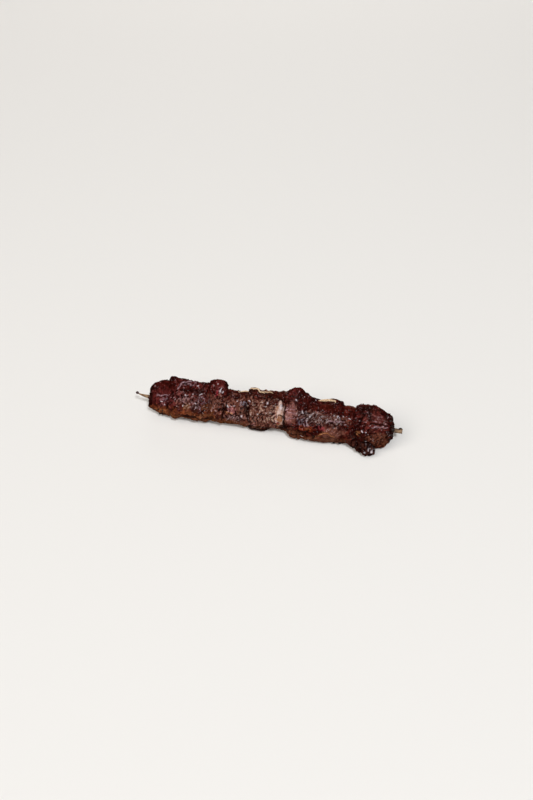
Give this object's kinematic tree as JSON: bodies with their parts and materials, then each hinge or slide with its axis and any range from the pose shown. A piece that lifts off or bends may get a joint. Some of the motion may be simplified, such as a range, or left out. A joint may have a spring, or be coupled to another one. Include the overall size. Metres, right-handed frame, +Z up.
{
  "type": "beef kebab skewer",
  "caption": "Grilled beef kebab: uneven pieces of dark seared beef threaded tightly on a round bamboo skewer, lying on its side.",
  "frame": {"origin": "middle of the kebab's bounding box in plan, on the surface that it lies on", "axes": "+X along the skewer from its point to its blunt end, +Y towards the back, +Z up"},
  "size_m": [0.2, 0.0382, 0.0329],
  "materials": {
    "seared_beef": "satin",
    "browned_beef": "satin",
    "charred_beef": "satin",
    "bamboo": "matte"
  },
  "bodies": {
    "root": {"skewer": "bamboo", "beef_1": "seared_beef", "beef_2": "seared_beef", "beef_3": "seared_beef", "beef_4": "browned_beef", "beef_5": "browned_beef", "beef_6": "seared_beef", "beef_7": "seared_beef", "beef_8": "charred_beef", "beef_9": "seared_beef"}
  },
  "joints": []
}
